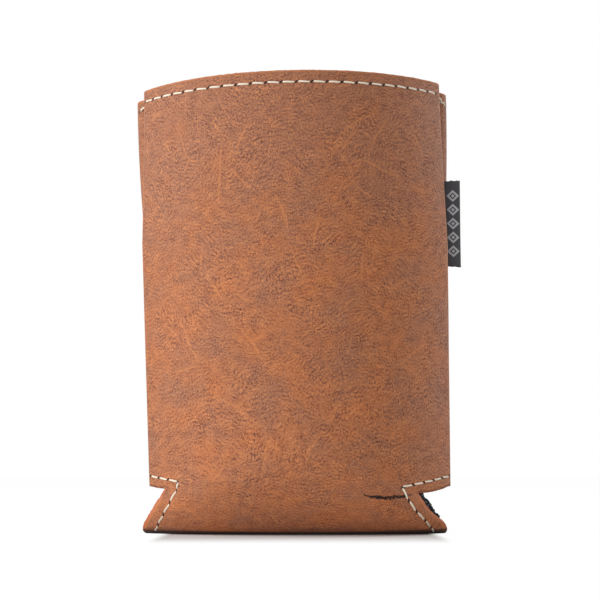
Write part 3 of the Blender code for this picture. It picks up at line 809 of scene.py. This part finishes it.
def stitch_tree():
    """Geometry nodes that sew one stitch along each edge of a line that knows which way is out."""
    tree = bpy.data.node_groups.new("row_of_stitches", "GeometryNodeTree")
    sockets = {"Line": "NodeSocketGeometry", "Seed": "NodeSocketInt", "Thread": "NodeSocketMaterial"}
    for name in ("Pitch", "Thread diameter", "Reach", "Hump", "Sink", "Slant"):
        sockets[name] = "NodeSocketFloat"
    for name, kind in sockets.items():
        tree.interface.new_socket(name, in_out="INPUT", socket_type=kind)
    tree.interface.new_socket("Stitches", in_out="OUTPUT", socket_type="NodeSocketGeometry")
    given = tree.nodes.new("NodeGroupInput").outputs
    result = tree.nodes.new("NodeGroupOutput")

    # A point in the middle of each edge that knows the way from one needle hole to the next
    ends = put(tree, "GeometryNodeInputMeshEdgeVertices").node.outputs
    between = put(tree, VECTOR, (ends["Position 2"], ends["Position 1"]), operation="SUBTRACT")
    middle = put(tree, VECTOR, (ends["Position 1"], ends["Position 2"]), operation="ADD")
    middle = put(tree, VECTOR, {0: middle, "Scale": 0.5}, operation="SCALE")
    edges = put(tree, STORE, {"Geometry": given["Line"], "Name": "sewn_way", "Value": between},
                data_type="FLOAT_VECTOR", domain="EDGE")
    points = put(tree, "GeometryNodeMeshToPoints", {"Mesh": edges, "Position": middle}, mode="EDGES")
    outward = put(tree, NAMED, {"Name": "outward"}, data_type="FLOAT_VECTOR")
    way = put(tree, NAMED, {"Name": "sewn_way"}, data_type="FLOAT_VECTOR")
    along = put(tree, "FunctionNodeAlignRotationToVector", {"Vector": way}, axis="X")
    turn = put(tree, "FunctionNodeAlignRotationToVector", {"Rotation": along, "Vector": outward}, axis="Z",
               pivot_axis="X")
    lean = put(tree, "FunctionNodeRandomValue", {2: -0.04, 3: 0.04, "Seed": given["Seed"]}, 1,
               data_type="FLOAT")
    lean = put(tree, MATH, (lean, given["Slant"]), operation="ADD")
    lean = put(tree, "FunctionNodeAxisAngleToRotation", {"Axis": (0, 0, 1), "Angle": lean})
    turn = put(tree, "FunctionNodeRotateRotation", {"Rotation": turn, "Rotate By": lean},
               rotation_space="LOCAL")
    stretch = put(tree, VECTOR, (way,), 1, operation="LENGTH")
    stretch = put(tree, MATH, (stretch, given["Pitch"]), operation="DIVIDE")
    stretch = put(tree, COMBINE, (stretch, 1.0, 1.0))

    # One stitch a pitch long: it dives at both ends, and each point of it knows its place in the ply
    half = put(tree, MATH, (given["Pitch"], given["Reach"]), operation="MULTIPLY")
    low = put(tree, MATH, (given["Sink"], -1.0), operation="MULTIPLY")
    high = put(tree, MATH, (given["Hump"], 1.35), operation="MULTIPLY")
    bend = {}
    for name, reach, rise in (("Start", -0.5, low), ("Start Handle", -0.4, high), ("End Handle", 0.4, high),
                              ("End", 0.5, low)):
        reach = put(tree, MATH, (half, reach), operation="MULTIPLY")
        bend[name] = put(tree, COMBINE, {"X": reach, "Z": rise})
    path = put(tree, "GeometryNodeCurvePrimitiveBezierSegment", {"Resolution": 12, **bend})
    radius = put(tree, MATH, (given["Thread diameter"], 0.5), operation="MULTIPLY")
    ring = put(tree, "GeometryNodeCurvePrimitiveCircle", {"Resolution": 10, "Radius": radius})
    place = put(tree, "GeometryNodeSplineParameter").node.outputs
    path = put(tree, STORE, {"Geometry": path, "Name": "sewn_length", "Value": place["Length"]})
    ring = put(tree, STORE, {"Geometry": ring, "Name": "sewn_turn", "Value": place["Factor"]})
    stitch = put(tree, "GeometryNodeCurveToMesh", {"Curve": path, "Profile Curve": ring, "Fill Caps": True})
    around = put(tree, NAMED, {"Name": "sewn_turn"})
    around = put(tree, MATH, (around, 2 * math.pi * 3), operation="MULTIPLY")
    cosine = put(tree, MATH, (around,), operation="COSINE")
    sine = put(tree, MATH, (around,), operation="SINE")
    length = put(tree, NAMED, {"Name": "sewn_length"})
    ply = put(tree, COMBINE, (length, cosine, sine))
    stitch = put(tree, STORE, {"Geometry": stitch, "Name": "ply", "Value": ply}, data_type="FLOAT_VECTOR")
    rows = put(tree, "GeometryNodeInstanceOnPoints", {"Points": points, "Instance": stitch, "Rotation": turn,
                                                     "Scale": stretch})
    rows = put(tree, "GeometryNodeRealizeInstances", {"Geometry": rows})
    rows = put(tree, "GeometryNodeRemoveAttribute", {"Geometry": rows, "Name": "sewn_*"},
               pattern_mode="WILDCARD")
    rows = put(tree, "GeometryNodeSetShadeSmooth", {"Geometry": rows})
    rows = put(tree, "GeometryNodeSetMaterial", {"Geometry": rows, "Material": given["Thread"]})
    tree.links.new(rows, result.inputs[0])
    return tree


def sew(node, slot, seam, sizes, **inputs):
    """A seam's stitches, made a plain mesh, in place of the CAD node of its thread."""
    inputs.update({"Pitch": sizes.stitch_pitch, "Thread diameter": sizes.thread_diameter})
    name = node.replace("thread", "stitches")
    holes = seam.at_holes(seam.line)
    pairs = [(i, i + 1) for i in range(len(holes) - 1)] + ([(len(holes) - 1, 0)] if seam.closed else [])
    data = bpy.data.meshes.new(name + "_line")
    data.from_pydata(holes.tolist(), pairs, [])
    guide = bpy.data.objects.new(name + "_line", data)
    bpy.context.scene.collection.objects.link(guide)
    add_attribute(guide, "outward", seam.at_holes(seam.outward))
    tree = bpy.data.node_groups.get("row_of_stitches") or stitch_tree()
    modifier = guide.modifiers.new("stitches", "NODES")
    modifier.node_group = tree
    for item in tree.interface.items_tree:
        if item.name in inputs and item.in_out == "INPUT":
            modifier[item.identifier] = inputs[item.name]
    evaluated = guide.evaluated_get(bpy.context.evaluated_depsgraph_get())
    mesh = bpy.data.meshes.new_from_object(evaluated)
    mesh.name = name
    bpy.data.objects.remove(guide)
    bpy.data.meshes.remove(data)
    made = bpy.data.objects.new(name, mesh)
    bpy.context.scene.collection.objects.link(made)
    settle(made, [node])


def thread_material(name, colour, bump):
    """Bonded polyester sewing thread: three plies twisted, then coated, so it is pale with a soft gloss."""
    made, tree, shader = blank_material(name)
    ply = put(tree, ATTRIBUTE, out=1, attribute_name="ply")
    parts = put(tree, SEPARATE, (ply,)).node.outputs
    # One turn of the three plies every 1.8 mm
    lay = put(tree, MATH, (parts["X"], 2 * math.pi * 3 / (1.8 * MM)), operation="MULTIPLY")
    cosine = put(tree, MATH, (lay,), operation="COSINE")
    sine = put(tree, MATH, (lay,), operation="SINE")
    first = put(tree, MATH, (cosine, parts["Y"]), operation="MULTIPLY")
    twist = put(tree, MATH, (sine, parts["Z"], first), operation="MULTIPLY_ADD")
    # The grooves between the plies are painted darker, as painted shade
    groove = put(tree, RANGE, (twist, -1.0, -0.4))
    shade = put(tree, MIX, {0: groove, 6: opaque([c * 0.62 for c in colour]), 7: opaque(colour)}, 2,
                data_type="RGBA")
    # The thread is darker over the last 10 mm above the ground, down to 0.55 of its colour there
    spot = put(tree, "ShaderNodeTexCoord", out=3)
    spot = put(tree, SEPARATE, (spot,), 2)
    height_brightness = put(tree, RANGE, (spot, 0.0, 10 * MM, 0.55))
    shade = put(tree, VECTOR, {0: shade, "Scale": height_brightness}, operation="SCALE")
    normal = put(tree, "ShaderNodeBump", {"Height": twist, "Distance": bump, "Strength": 0.6})
    feed(tree, shader, {"Base Color": shade, "Normal": normal, "Roughness": 0.5})
    return made


def lining_material(colours):
    """Laminated foam with a knit nylon face: matte black, with ribs 0.5 mm apart and a fuzzy cut edge."""
    made, tree, shader = blank_material("knit_faced_foam")
    strip = put(tree, "ShaderNodeUVMap", uv_map="strip")
    ribs = put(tree, "ShaderNodeTexWave", {"Vector": strip, "Scale": 2 * math.pi / 20 / 0.5,
                                           "Distortion": 0.6, "Detail Scale": 3.0}, 1)
    fuzz = put(tree, NOISE, {"Vector": strip, "Scale": 1 / 0.35, "Detail": 3.0})
    weave = put(tree, MATH, (ribs, fuzz), operation="MULTIPLY")
    level = put(tree, RANGE, (weave, 0.0, 1.0, 0.5, 1.4))
    tone = put(tree, VECTOR, {0: tuple(colours.foam), "Scale": level}, operation="SCALE")
    # Grey lint from the cut hide, in flecks within 2 mm of the cut edges
    spot = put(tree, "ShaderNodeTexCoord", out=3)
    lint = put(tree, NOISE, {"Vector": spot, "Scale": 1 / (0.6 * MM), "Detail": 2.0, "Roughness": 0.7})
    lint = put(tree, RANGE, (lint, 0.54, 0.66))
    near = put(tree, ATTRIBUTE, out=2, attribute_name="edge_gap")
    near = put(tree, RANGE, (near, 1.0, 2.0, 0.6, 0.0))
    lint = put(tree, MATH, (lint, near), operation="MULTIPLY")
    tone = put(tree, MIX, {0: lint, 6: tone, 7: opaque(linear("#9AA7B2"))}, 2, data_type="RGBA")
    normal = put(tree, "ShaderNodeBump", {"Height": weave, "Distance": 0.15 * MM, "Strength": 0.8})
    feed(tree, shader, {"Base Color": tone, "Normal": normal, "Roughness": 0.92, "Specular IOR Level": 0.2})
    return made


def tape_material(colours, sizes):
    """Damask label tape: black polyester satin with a pale figured weave, its threads 0.2 mm apart.

    They are drawn 0.3 mm apart, which is the finest that shows.
    """
    made, tree, shader = blank_material("woven_label_tape")
    tape = put(tree, "ShaderNodeUVMap", uv_map="tape")
    parts = put(tree, SEPARATE, (tape,)).node.outputs
    picks = put(tree, MATH, (parts["Y"], 2 * math.pi / 0.3), operation="MULTIPLY")
    picks = put(tree, MATH, (picks,), operation="SINE")
    ends = put(tree, MATH, (parts["X"], 2 * math.pi / 0.3), operation="MULTIPLY")
    ends = put(tree, MATH, (ends,), operation="SINE")
    weave = put(tree, MATH, (picks, ends), operation="MULTIPLY")
    # A chain of five lozenges down the middle of the tape, each dark inside round a pale core
    repeat, half_way = 4.3, sizes.label_height / MM / 2
    centre = away_from(tree, parts["X"], 2.6)
    cell = put(tree, MATH, (parts["Y"], 3.5 * repeat - half_way), operation="ADD")
    cell = put(tree, MATH, (cell, repeat), operation="MODULO")
    cell = away_from(tree, cell, repeat / 2)
    lozenge = put(tree, MATH, (centre, 0.95, cell), operation="MULTIPLY_ADD")
    figure = put(tree, MATH, (lozenge, 1.45, 0.38), operation="COMPARE")
    core = put(tree, MATH, (lozenge, 0.55), operation="LESS_THAN")
    figure = put(tree, MATH, (figure, core), operation="MAXIMUM")
    middle = put(tree, MATH, (parts["Y"], half_way, 2.5 * repeat), operation="COMPARE")
    figure = put(tree, MATH, (figure, middle), operation="MULTIPLY")
    raised = put(tree, MATH, (weave, 0.25, 0.75), operation="MULTIPLY_ADD")
    figure = put(tree, MATH, (figure, raised), operation="MULTIPLY")
    ground = put(tree, MATH, (weave, 0.3, 0.9), operation="MULTIPLY_ADD")
    ground = put(tree, VECTOR, {0: tuple(colours.tape), "Scale": ground}, operation="SCALE")
    tone = put(tree, MIX, {0: figure, 6: ground, 7: opaque(colours.motif)}, 2, data_type="RGBA")
    normal = put(tree, "ShaderNodeBump", {"Height": weave, "Distance": 0.05 * MM, "Strength": 0.7})
    feed(tree, shader, {"Base Color": tone, "Normal": normal, "Roughness": 0.6, "Sheen Weight": 0.15})
    return made


def label_piece(sizes):
    """The folded tape: two plies and their bend, a little bowed, with its ends worn to threads."""
    seam = LABEL_HIGH[0] - sizes.label_reach
    bend = LABEL_HIGH[0] - sizes.label_thickness / 2
    turns = np.linspace(math.pi / 2, -math.pi / 2, 9)
    plies = np.linspace(LABEL_LOW[0], bend, 22)[:-1]
    outlines = []
    for half in (sizes.label_thickness / 2, 0.1 * MM):
        outlines.append(np.array([(x, half) for x in plies]
                                 + [(bend + half * math.cos(t), half * math.sin(t)) for t in turns]
                                 + [(x, -half) for x in plies[::-1]]))
    wide, tall = len(outlines[0]), 56
    heights = np.linspace(0.0, sizes.label_height, tall)[:, None]
    wear_and_shade = np.exp(-np.minimum(heights, sizes.label_height - heights) / (0.5 * MM))
    fray = np.random.default_rng(11).normal(0.0, 0.12 * MM, size=(2, wide))
    fray = np.where(heights > sizes.label_height / 2, fray[1], fray[0])
    points = []
    for outline in outlines:
        z = sizes.label_bottom + heights + wear_and_shade * fray
        x = np.broadcast_to(outline[:, 0], z.shape)
        bow = 0.3 * MM * share(x, seam, bend) ** 2 * np.sin(heights / sizes.label_height * 4.1 + 0.4)
        points.append(np.stack([x, outline[:, 1] + bow, z], -1).reshape(-1, 3))
    points = np.concatenate(points)
    at = np.arange(wide * tall).reshape(tall, wide)
    sheet = np.stack([at[:-1, :-1], at[1:, :-1], at[1:, 1:], at[:-1, 1:]], -1).reshape(-1, 4)
    inner = wide * tall
    rim = np.concatenate([at[0], at[1:, -1], at[-1, -2::-1], at[-2:0:-1, 0]])
    after = np.roll(rim, -1)
    sides = np.stack([rim, after, after + inner, rim + inner], 1)
    made = new_mesh("woven_side_label", points, np.concatenate([sheet, sheet[:, ::-1] + inner, sides]))
    mesh = bmesh.new()
    mesh.from_mesh(made.data)
    bmesh.ops.recalc_face_normals(mesh, faces=mesh.faces[:])
    mesh.to_mesh(made.data)
    mesh.free()
    loops = np.empty(len(made.data.loops), np.int32)
    made.data.loops.foreach_get("vertex_index", loops)
    flat = np.stack([points[:, 0] - seam, points[:, 2] - sizes.label_bottom], 1) / MM
    made.data.uv_layers.new(name="tape").data.foreach_set("uv", flat[loops].ravel())
    return made


class SLEEVE_OT_leather(bpy.types.Operator):
    """Fold the leather strip and lay its grain, creases and needle holes on it"""
    bl_idname = "sleeve.leather"
    bl_label = "Leather"

    def execute(self, context):
        sizes = context.scene.sleeve_sizes
        form = Form(sizes)
        flush = {LEFT: ((0.0,), (0.0,)), RIGHT: ((0.0,), (0.0,))}
        piece, outside, flat = strip_piece(form, "folded_leather_strip", 0.0, form.leather, 0.0, flush,
                                           (104, 44), 0.035 * MM, {LEFT: 0.9, RIGHT: 0.5})
        points = np.empty(len(piece.data.vertices) * 3)
        piece.data.vertices.foreach_get("co", points)
        points = points.reshape(-1, 3)
        field = np.tile([0.0, 5.0, 0.0], (len(points), 1))
        field[outside] = stitch_field(form, points[outside], sizes.stitch_pitch)
        add_attribute(piece, "stitch_row", field)
        for name, strokes in (("crease", CREASES), ("scar", (SCAR,))):
            field = np.tile([3.0, 0.0, 0.0], (len(points), 1))
            field[outside] = stroke_field(flat, strokes)
            add_attribute(piece, name, field)
        material = leather_material(context.scene.sleeve_colours, form, sizes.stitch_pitch / MM)
        piece.data.materials.append(material)
        settle(piece, ["leather_shell"])
        declare_strip(piece)
        return {"FINISHED"}


class SLEEVE_OT_lining(bpy.types.Operator):
    """Fold the foam lining inside the leather"""
    bl_idname = "sleeve.lining"
    bl_label = "Foam lining"

    def execute(self, context):
        form = Form(context.scene.sleeve_sizes)
        depth = form.leather + CLEARANCE
        overhang = {LEFT: ((0.0,), (-0.8,)), RIGHT: LINING_OVERHANG}
        piece, *_ = strip_piece(form, "foam_lining_strip", depth, form.lining, LINING_RIM_DROP, overhang,
                                (80, 44), 0.08 * MM, {LEFT: 0.5, RIGHT: 1.2})
        piece.data.materials.append(lining_material(context.scene.sleeve_colours))
        settle(piece, ["lining"])
        declare_strip(piece)
        return {"FINISHED"}


class SLEEVE_OT_topstitching(bpy.types.Operator):
    """Sew the cream stitches round the rim and the two notches"""
    bl_idname = "sleeve.topstitching"
    bl_label = "Topstitching"

    def execute(self, context):
        sizes = context.scene.sleeve_sizes
        material = thread_material("bonded_cream_thread", context.scene.sleeve_colours.thread, 0.1 * MM)
        for number, (name, seam) in enumerate(seam_lines(Form(sizes), sizes.stitch_pitch).items()):
            sew(name, "topstitch_thread", seam, sizes, Thread=material, Seed=number, Reach=0.80, Slant=-0.06,
                Hump=0.16 * MM, Sink=0.45 * MM)
        return {"FINISHED"}


class SLEEVE_OT_under_threads(bpy.types.Operator):
    """Sew the under threads on the lining and the two hidden side seams"""
    bl_idname = "sleeve.under_threads"
    bl_label = "Under threads and side seams"

    def execute(self, context):
        sizes = context.scene.sleeve_sizes
        material = thread_material("black_sewing_thread", linear("#1C1B1C"), 0.1 * MM)
        for number, (name, seam) in enumerate(under_lines(Form(sizes), sizes.stitch_pitch).items()):
            sew(name, "seam_thread", seam, sizes, Thread=material, Seed=20 + number, Reach=0.92, Slant=0.0,
                Hump=0.12 * MM, Sink=0.3 * MM)
        return {"FINISHED"}


class SLEEVE_OT_label(bpy.types.Operator):
    """Fold the woven tape label and tuck it into the right seam"""
    bl_idname = "sleeve.label"
    bl_label = "Side label"

    def execute(self, context):
        sizes = context.scene.sleeve_sizes
        piece = label_piece(sizes)
        piece.data.materials.append(tape_material(context.scene.sleeve_colours, sizes))
        settle(piece, ["side_label"])
        return {"FINISHED"}


class SLEEVE_OT_stage(bpy.types.Operator):
    """Set the white floor, the softboxes and the camera"""
    bl_idname = "sleeve.stage"
    bl_label = "Studio"

    def execute(self, context):
        scene = context.scene
        corners = np.array([(-4.0, -4.0, 0.0), (4.0, -4.0, 0.0), (4.0, 6.0, 0.0), (-4.0, 6.0, 0.0)])
        floor = new_mesh("studio_floor", corners, np.array([[0, 1, 2, 3]]))
        floor.data.materials.append(floor_material())
        light("key_softbox", (-0.97, -0.22, 0.27), (0.0, 0.0, 0.07), (0.7, 0.9), 10.2)
        light("right_strip", (0.75, 0.35, 0.25), (0.0, 0.0, 0.07), (0.25, 0.7), 2.8)
        light("front_fill", (-0.35, -1.1, 0.18), (0.0, 0.0, 0.04), (0.9, 0.35), 6.4)
        scene.world = white_world()
        data = bpy.data.cameras.new("camera")
        data.lens = 82.3
        data.sensor_width = 36.0
        camera = bpy.data.objects.new("camera", data)
        camera.location = (0.0, -0.415, 0.0176)
        camera.rotation_euler = (math.radians(90 + 7.21), 0.0, 0.0)
        scene.collection.objects.link(camera)
        scene.camera = camera
        scene.view_settings.view_transform = "Standard"
        return {"FINISHED"}


def white_world():
    """A studio that lights evenly from all sides and that the lens sees as plain white."""
    world = bpy.data.worlds.new("white_studio")
    world.use_nodes = True
    tree = world.node_tree
    tree.nodes.clear()
    ray = put(tree, "ShaderNodeLightPath").node.outputs
    seen = put(tree, MATH, (ray["Is Camera Ray"], ray["Is Glossy Ray"]), operation="MAXIMUM")
    seen = put(tree, MATH, (seen, ray["Is Transmission Ray"]), operation="MAXIMUM")
    lamp = put(tree, "ShaderNodeBackground", {"Color": WHITE, "Strength": 0.41})
    white = put(tree, "ShaderNodeBackground", {"Color": WHITE, "Strength": 1.0})
    mixed = put(tree, "ShaderNodeMixShader", {0: seen, 1: lamp, 2: white})
    tree.links.new(mixed, tree.nodes.new("ShaderNodeOutputWorld").inputs["Surface"])
    return world


def floor_material():
    """A white paper sweep that the lens sees as white, but for the sleeve's shadow."""
    made, tree, shader = blank_material("white_paper_floor")
    feed(tree, shader, {"Base Color": (0.8, 0.8, 0.8, 1.0), "Roughness": 0.9, "Specular IOR Level": 0.0})
    # The lens sees it turn white over 42 mm before the sleeve and over 4 mm at its sides, so that only the
    # near shadow stays
    place = put(tree, "ShaderNodeTexCoord", out=3)
    away = put(tree, VECTOR, (place,), operation="ABSOLUTE")
    away = put(tree, VECTOR, (away, (0.037, 0.026, 0.0)), operation="SUBTRACT")
    away = put(tree, VECTOR, (away, (0.0, 0.0, 0.0)), operation="MAXIMUM")
    away = put(tree, VECTOR, (away, (10.0, 1.0, 1.0)), operation="MULTIPLY")
    away = put(tree, VECTOR, (away,), out=1, operation="LENGTH")
    away = put(tree, RANGE, (away, 0.0, 0.042, 0.0, 0.93), interpolation_type="SMOOTHSTEP")
    seen = put(tree, "ShaderNodeLightPath").node.outputs["Is Camera Ray"]
    away = put(tree, MATH, (away, seen), operation="MULTIPLY")
    white = put(tree, "ShaderNodeEmission", {"Color": WHITE, "Strength": 1.04})
    paper = put(tree, "ShaderNodeMixShader", (away, shader.outputs[0], white))
    tree.links.new(paper, tree.nodes["Material Output"].inputs["Surface"])
    return made


def light(name, place, target, size, watts):
    data = bpy.data.lights.new(name, "AREA")
    data.shape = "RECTANGLE"
    data.size, data.size_y = size
    data.energy = watts
    lamp = bpy.data.objects.new(name, data)
    aim = Vector(target) - Vector(place)
    lamp.rotation_euler = aim.to_track_quat("-Z", "Y").to_euler()
    lamp.location = place
    bpy.context.scene.collection.objects.link(lamp)


def settle(piece, nodes):
    """A finished piece rides on the sleeve's one body and stands for its CAD nodes."""
    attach(piece, "root")
    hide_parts(*nodes)


def declare_strip(piece):
    """The strip as it was cut, whose area is half the closed mesh's: reads the faces' areas and keeps
    nothing.
    """
    polygons = np.empty(len(piece.data.polygons))
    piece.data.polygons.foreach_get("area", polygons)


class SLEEVE_PT_panel(bpy.types.Panel):
    bl_idname = "SLEEVE_PT_panel"
    bl_label = "Can cooler sleeve"
    bl_space_type = "VIEW_3D"
    bl_region_type = "UI"
    bl_category = "Sleeve"

    def draw(self, context):
        for group in (context.scene.sleeve_sizes, context.scene.sleeve_colours):
            box = self.layout.box()
            for name in group.__annotations__:
                box.prop(group, name)
        for maker in MAKERS:
            self.layout.operator(maker.bl_idname)


MAKERS = (SLEEVE_OT_leather, SLEEVE_OT_lining, SLEEVE_OT_topstitching, SLEEVE_OT_under_threads,
          SLEEVE_OT_label, SLEEVE_OT_stage)
CLASSES = (SleeveSizes, SleeveColours, *MAKERS, SLEEVE_PT_panel)


def register():
    for made in CLASSES:
        bpy.utils.register_class(made)
    bpy.types.Scene.sleeve_sizes = PointerProperty(type=SleeveSizes)
    bpy.types.Scene.sleeve_colours = PointerProperty(type=SleeveColours)


def unregister():
    del bpy.types.Scene.sleeve_colours
    del bpy.types.Scene.sleeve_sizes
    for made in reversed(CLASSES):
        bpy.utils.unregister_class(made)


def main():
    register()
    bpy.ops.sleeve.leather()
    bpy.ops.sleeve.lining()
    bpy.ops.sleeve.topstitching()
    bpy.ops.sleeve.under_threads()
    bpy.ops.sleeve.label()
    bpy.ops.sleeve.stage()


if __name__ == "__main__":
    main()
